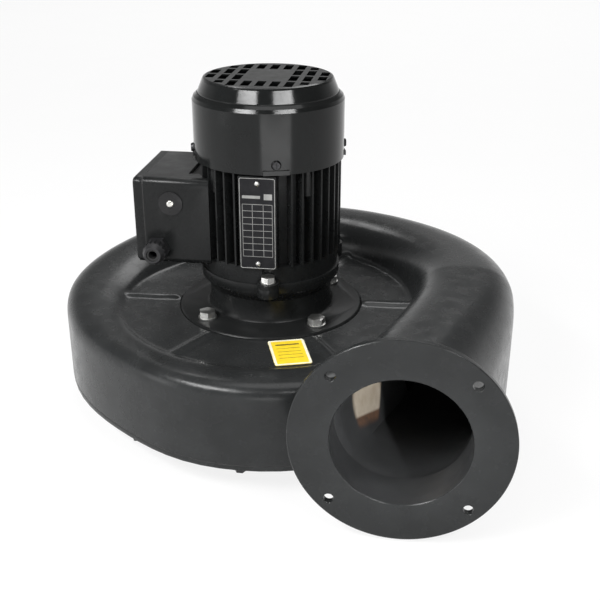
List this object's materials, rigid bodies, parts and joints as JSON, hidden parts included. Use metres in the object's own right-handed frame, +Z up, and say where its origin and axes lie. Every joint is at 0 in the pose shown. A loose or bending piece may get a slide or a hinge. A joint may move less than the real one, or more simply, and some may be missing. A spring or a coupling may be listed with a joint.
{
  "type": "centrifugal blower",
  "caption": "Cast volute blower with a vertical finned flange motor, terminal box, closed impeller, round flanged outlet at its side and flanged inlet below.",
  "frame": {"origin": "centre of the inlet bore in the face of the inlet flange, on the motor axis", "axes": "+Z up along the motor axis, from the inlet to the fan cowl; the outlet faces -Y and lies on the +X side"},
  "size_m": [0.5031, 0.5086, 0.365],
  "materials": {
    "cast_paint": "dark grey enamel on cast aluminium, satin",
    "motor_paint": "black enamel on cast aluminium, satin",
    "cowl_paint": "black enamel on pressed steel, satin",
    "zinc": "zinc plated",
    "black_steel": "blackened steel",
    "steel": "ground steel",
    "alloy": "bare aluminium",
    "plate_metal": "brushed plate, blank",
    "label_yellow": "plain yellow film",
    "black_plastic": "moulded polyamide",
    "board": "moulded laminate",
    "elastomer": "black rubber",
    "brass": "plain brass",
    "copper": "varnished copper wire"
  },
  "bodies": {
    "stator": {"scroll_housing": "cast_paint", "inlet_cover": "cast_paint", "cover_gasket": "elastomer", "cover_bolts": "black_steel", "shaft_seal": "elastomer", "stator_core": "steel", "stator_windings": "copper", "front_bearing_outer": "steel", "rear_bearing_outer": "steel", "preload_washer": "steel", "drive_end_shield": "motor_paint", "flange_bolts": "zinc", "motor_frame": "motor_paint", "frame_screws": "zinc", "rear_end_shield": "motor_paint", "rear_shield_screws": "zinc", "fan_cowl": "cowl_paint", "cowl_screws": "black_steel", "terminal_box": "motor_paint", "terminal_box_screws": "zinc", "lid_gasket": "elastomer", "terminal_box_lid": "motor_paint", "lid_screws": "zinc", "terminal_board": "board", "terminal_studs": "brass", "terminal_links": "brass", "gland_body": "black_plastic", "gland_nut": "black_plastic", "gland_seal": "elastomer", "gland_locknut": "black_plastic", "blanking_plug": "black_plastic", "earth_screw": "brass", "nameplate": "plate_metal", "nameplate_rivets": "zinc", "label_plate": "label_yellow"},
    "rotor": {"shaft": "steel", "impeller_back_plate": "alloy", "impeller_blades": "alloy", "impeller_shroud": "alloy", "impeller_hub": "alloy", "impeller_rivets": "alloy", "impeller_key": "steel", "impeller_washer": "zinc", "impeller_bolt": "zinc", "rotor_core": "steel", "rotor_cage": "alloy", "front_bearing_inner": "steel", "rear_bearing_inner": "steel", "cooling_fan": "black_plastic", "fan_circlip": "steel"},
    "front_cage": {"front_bearing_cage": "brass"},
    "rear_cage": {"rear_bearing_cage": "brass"}
  },
  "joints": [
    {"name": "rotor_spin", "type": "hinge", "parent": "stator", "child": "rotor", "pos_m": [0, 0, 0.2], "axis": [0, 0, 1], "continuous": true},
    {"name": "front_cage_spin", "type": "hinge", "parent": "stator", "child": "front_cage", "pos_m": [0, 0, 0.155], "axis": [0, 0, 1], "continuous": true},
    {"name": "rear_cage_spin", "type": "hinge", "parent": "stator", "child": "rear_cage", "pos_m": [0, 0, 0.294], "axis": [0, 0, 1], "continuous": true}
  ],
  "couplings": [
    {"joint": "front_cage_spin", "follows": "rotor_spin", "ratio": 0.38209},
    {"joint": "rear_cage_spin", "follows": "rotor_spin", "ratio": 0.38209}
  ]
}
